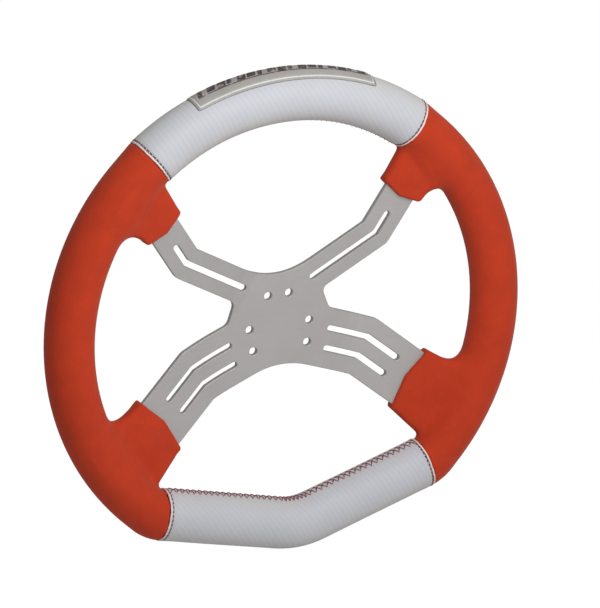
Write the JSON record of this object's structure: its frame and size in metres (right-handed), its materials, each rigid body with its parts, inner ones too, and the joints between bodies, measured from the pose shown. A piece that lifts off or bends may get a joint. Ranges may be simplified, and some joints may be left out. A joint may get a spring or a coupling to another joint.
{
  "type": "kart steering wheel",
  "caption": "Sports steering wheel for a kart, with a slotted aluminium spoke plate and a padded, sewn rim that has a V-shaped bottom.",
  "frame": {"origin": "on the steering axis, at the centre of the hub's rear face", "axes": "+Z to the top of the rim, +X to the driver's right, -Y towards the driver; the steering axis is the Y axis"},
  "size_m": [0.3406, 0.037, 0.3312],
  "materials": {
    "anodised_aluminium": "satin",
    "hoop_aluminium": "satin",
    "moulded_foam": "matte",
    "red_suede": "suede nap",
    "silver_vinyl": "pearl coated, fine diagonal weave",
    "white_piping": "satin",
    "maroon_thread": "waxed",
    "red_thread": "waxed",
    "badge_silver": "satin",
    "badge_print": "gloss"
  },
  "bodies": {
    "root": {"badge_base": "badge_silver", "badge_inlay": "badge_print", "cross_stitch_bottom": "maroon_thread", "cross_stitch_top": "maroon_thread", "foam_rim": "moulded_foam", "joint_thread_lower_left": "maroon_thread", "joint_thread_lower_right": "maroon_thread", "joint_thread_upper_left": "maroon_thread", "joint_thread_upper_right": "maroon_thread", "piping_lower_left": "white_piping", "piping_lower_right": "white_piping", "piping_upper_left": "white_piping", "piping_upper_right": "white_piping", "rear_seam_thread_left": "red_thread", "rear_seam_thread_right": "red_thread", "rim_hoop": "hoop_aluminium", "spoke_plate": "anodised_aluminium", "suede_cover_left": "red_suede", "suede_cover_right": "red_suede", "vinyl_cover_bottom": "silver_vinyl", "vinyl_cover_top": "silver_vinyl", "weld_bead_lower_left": "hoop_aluminium", "weld_bead_lower_right": "hoop_aluminium", "weld_bead_upper_left": "hoop_aluminium", "weld_bead_upper_right": "hoop_aluminium"}
  },
  "joints": []
}
